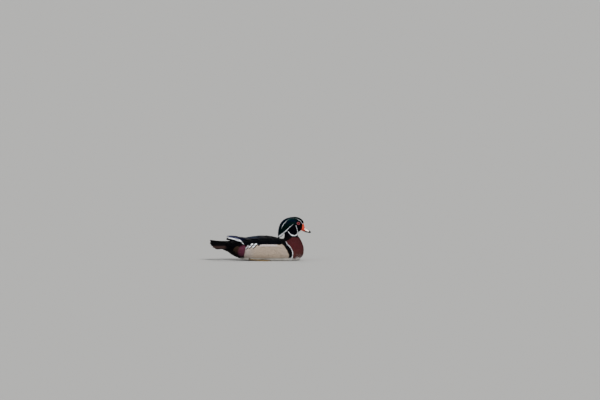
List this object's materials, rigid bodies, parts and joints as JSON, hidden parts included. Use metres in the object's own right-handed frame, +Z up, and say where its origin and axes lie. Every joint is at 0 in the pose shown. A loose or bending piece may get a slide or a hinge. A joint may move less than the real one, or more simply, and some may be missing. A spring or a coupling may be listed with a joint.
{
  "type": "wood duck",
  "caption": "Life-size still model of a drake wood duck resting on its belly, with a hanging crest, folded wings, raised tail and tucked feet.",
  "frame": {"origin": "middle of the bird's length and width, on the surface it rests on", "axes": "+X from tail to bill, +Z up, +Y to the bird's left"},
  "size_m": [0.4135, 0.142, 0.179],
  "materials": {
    "body_plumage": "soft feathers, tan flanks, burgundy breast and white belly",
    "neck_plumage": "soft burgundy feathers",
    "head_plumage": "silky green and purple gloss with white lines",
    "wing_feathers": "smooth black vanes with a blue gloss",
    "tail_feathers": "smooth black vanes with a bronze gloss",
    "bill": "smooth horn, red at the base, white at the sides, black along the ridge",
    "eye": "wet and glossy, red iris and black pupil",
    "leg_skin": "scaly yellowish skin with dark webs"
  },
  "bodies": {
    "root": {"torso": "body_plumage", "neck": "neck_plumage", "head": "head_plumage", "wing_left": "wing_feathers", "wing_right": "wing_feathers", "tail": "tail_feathers", "bill_upper": "bill", "bill_lower": "bill", "eye_left": "eye", "eye_right": "eye", "leg_left": "leg_skin", "leg_right": "leg_skin", "foot_left": "leg_skin", "foot_right": "leg_skin"}
  },
  "joints": []
}
